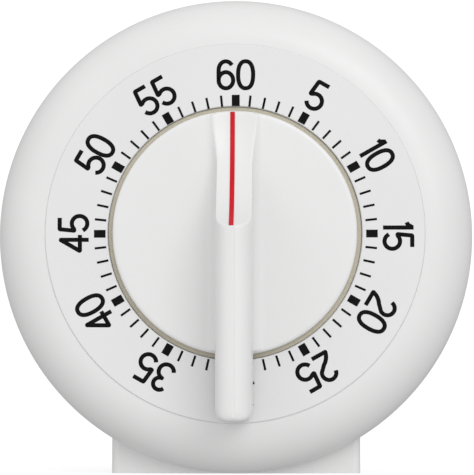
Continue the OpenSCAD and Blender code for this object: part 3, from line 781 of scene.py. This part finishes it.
# %% Cut the parting line, the pocket and the bore
LINE_R, LINE_LIFT = 0.4 * MM, 0.26 * MM
BORE_R, BORE_FLAT, BORE_DEPTH = 2.05 * MM, 1.25 * MM, 8.2 * MM
POCKET_HW, POCKET_END, POCKET_DEPTH = 1.8 * MM, 5 * MM, 12.5 * MM
line = cylinder("parting_line", LINE_R, -bar_reach - MM, 1.5 * MM, 24)
line.matrix_world = (Matrix.Translation((0, 0, bar_top + LINE_LIFT))
                     @ Matrix.Rotation(-math.pi / 2, 4, "X"))
bore = cylinder("bore", BORE_R, knob_under - MM, knob_top + BORE_DEPTH, 48)
carve(bore, block("flat", (-5 * MM, BORE_FLAT, 0), (5 * MM, 9 * MM, TALL)))
pocket = block("pocket", (-POCKET_HW, POCKET_END - knob_r, knob_under - MM),
               (POCKET_HW, -POCKET_END, knob_under + POCKET_DEPTH))
carve(bar, join([settle(line), bore, pocket]))
shade(bar, 40)
finish_piece(bar, "setting_knob", ["knob"], knob_plastic)

# %% [markdown]
# ## The foot
# A block whose top is hollowed to cradle the drum. Its lower corners and its upright edges are
# rounded, and the remaining edges are only broken.

# %% Model the foot
foot = block("foot_block", (foot_lo.x, -axis_h, -foot_hi.y), (foot_hi.x, -drum_r / 2, -foot_lo.y))
UPRIGHT_R, CORNER_R, FIT = 1.7 * MM, 1.5 * MM, 0.05 * MM
bevel_edges(foot, lambda a, b: near(a.x, b.x) and near(a.z, b.z), UPRIGHT_R, 6)
bevel_edges(foot, lambda a, b: near(a.y, -axis_h) and near(b.y, -axis_h)
            and near(a.x, b.x) and abs(abs(a.x) - foot_hi.x) < 0.01 * MM, CORNER_R, 6)
carve(foot, cylinder("cradle", drum_r + FIT, -40 * MM, 40 * MM, 384))
soften(foot, 0.2 * MM, 2, 40)
shade(foot)
finish_piece(foot, "timer_case", ["base_foot"], case_plastic)

# %% [markdown]
# ## The rear cover
# A disc that drops into the drum, with nine sound slots for the bell and four sunk places for
# its screws. A slot with round ends is a cube whose upright edges are bevelled.

# %% Model the rear cover
cover = cylinder("rear_cover_plate", cover_r, cover_z0, cover_z1)
SLOT_FIELD, SLOT_PITCH, SLOT_HW, SLOT_END = 17, 4, 0.8 * MM, 0.78 * MM
HEAD_R, HEAD_SINK, SHANK_R = 2.8 * MM, 1.2 * MM, 1.6 * MM
cutters = []
for i in range(-4, 5):
    half = math.sqrt(SLOT_FIELD ** 2 - (SLOT_PITCH * i) ** 2) * MM
    slot = block("slot", (SLOT_PITCH * i * MM - SLOT_HW, -half, cover_z0 - MM),
                 (SLOT_PITCH * i * MM + SLOT_HW, half, cover_z1 + MM))
    bevel_edges(slot, lambda a, b: near(a.x, b.x) and near(a.y, b.y), SLOT_END, 6)
    cutters.append(slot)
for place in post_places:
    cutters.append(cylinder("sink", HEAD_R, cover_z0 - MM, cover_z0 + HEAD_SINK, 48, place))
for cutter in cutters:
    carve(cover, cutter)
for place in post_places:
    carve(cover, cylinder("hole", SHANK_R, cover_z0 - MM, cover_z1 + MM, 32, place))
soften(cover, 0.2 * MM, 2, 50)
shade(cover)
finish_piece(cover, "timer_case", ["rear_cover"], case_plastic)

# %% [markdown]
# ## Floor and light
# The timer stands in a wide pale dish: a floor that curves up into a wall all round, so no
# horizon shows. The light is that of a small studio: a glow that is strongest from in front and
# above, a large soft box in front of the timer, above it and to its right, and a weaker one to
# the left.

# %% Make the floor
deselect()
DISH_R, DISH_HIGH, DISH_CURVE = 4, 3, 1.5
bpy.ops.mesh.primitive_cylinder_add(vertices=96, radius=DISH_R, depth=DISH_HIGH,
                                    location=(0, 0, DISH_HIGH / 2))
floor = settle(bpy.context.object, "studio_floor")
pick_faces(floor, facing(DISH_HIGH, 1))
bpy.ops.mesh.delete(type="FACE")
bpy.ops.object.mode_set(mode="OBJECT")
bevel_edges(floor, ring_at(0), DISH_CURVE, 24)
activate(floor)
bpy.ops.object.mode_set(mode="EDIT")
bpy.ops.mesh.select_all(action="SELECT")
bpy.ops.mesh.flip_normals()
bpy.ops.object.mode_set(mode="OBJECT")
bpy.ops.object.shade_smooth()
paper, *_, paper_shader = new_material("pale_studio_paper")
paper_shader.inputs["Base Color"].default_value = (0.6, 0.6, 0.6, 1)
paper_shader.inputs["Roughness"].default_value = 0.9
paper_shader.inputs["Specular IOR Level"].default_value = 0
paper_shader.inputs["Emission Color"].default_value = (1, 1, 1, 1)
paper_shader.inputs["Emission Strength"].default_value = 0.62
floor.data.materials.append(paper)
floor.visible_diffuse = False
floor.visible_glossy = False
floor.visible_shadow = False


# %% Light the studio
def soft_box(name, where, size, power):
    deselect()
    bpy.ops.object.light_add(type="AREA", location=where)
    lamp = bpy.context.object
    lamp.name = name
    lamp.data.shape = "RECTANGLE"
    lamp.data.size, lamp.data.size_y = size
    lamp.data.energy = power
    lamp.rotation_euler = (Vector((0, -0.02, axis_h)) - Vector(where)).to_track_quat(
        "-Z", "Y").to_euler()
    return lamp


soft_box("key_soft_box", (0.56, -1.3, 0.77), (0.9, 0.9), 6.3)
soft_box("fill_soft_box", (-0.9, -0.9, 0.4), (0.7, 0.7), 0.8)
world = bpy.data.worlds.new("studio_air")
bpy.context.scene.world = world
world.use_nodes = True
air = world.node_tree.nodes
air_links = world.node_tree.links
where = air.new("ShaderNodeTexCoord")
forward = air.new("ShaderNodeVectorMath")
forward.operation = "DOT_PRODUCT"
forward.inputs[1].default_value = (0, -0.855, 0.52)
air_links.new(where.outputs["Generated"], forward.inputs[0])
sky = ramp(air, air_links, remap(air, air_links, forward.outputs["Value"], 0, 1, -1, 1),
           [(0.0, (0.33, 0.33, 0.33)), (1.0, (0.88, 0.88, 0.88))])
air_links.new(sky, air["Background"].inputs["Color"])
bpy.context.scene.view_settings.view_transform = "Standard"
print("two soft boxes and an even glow")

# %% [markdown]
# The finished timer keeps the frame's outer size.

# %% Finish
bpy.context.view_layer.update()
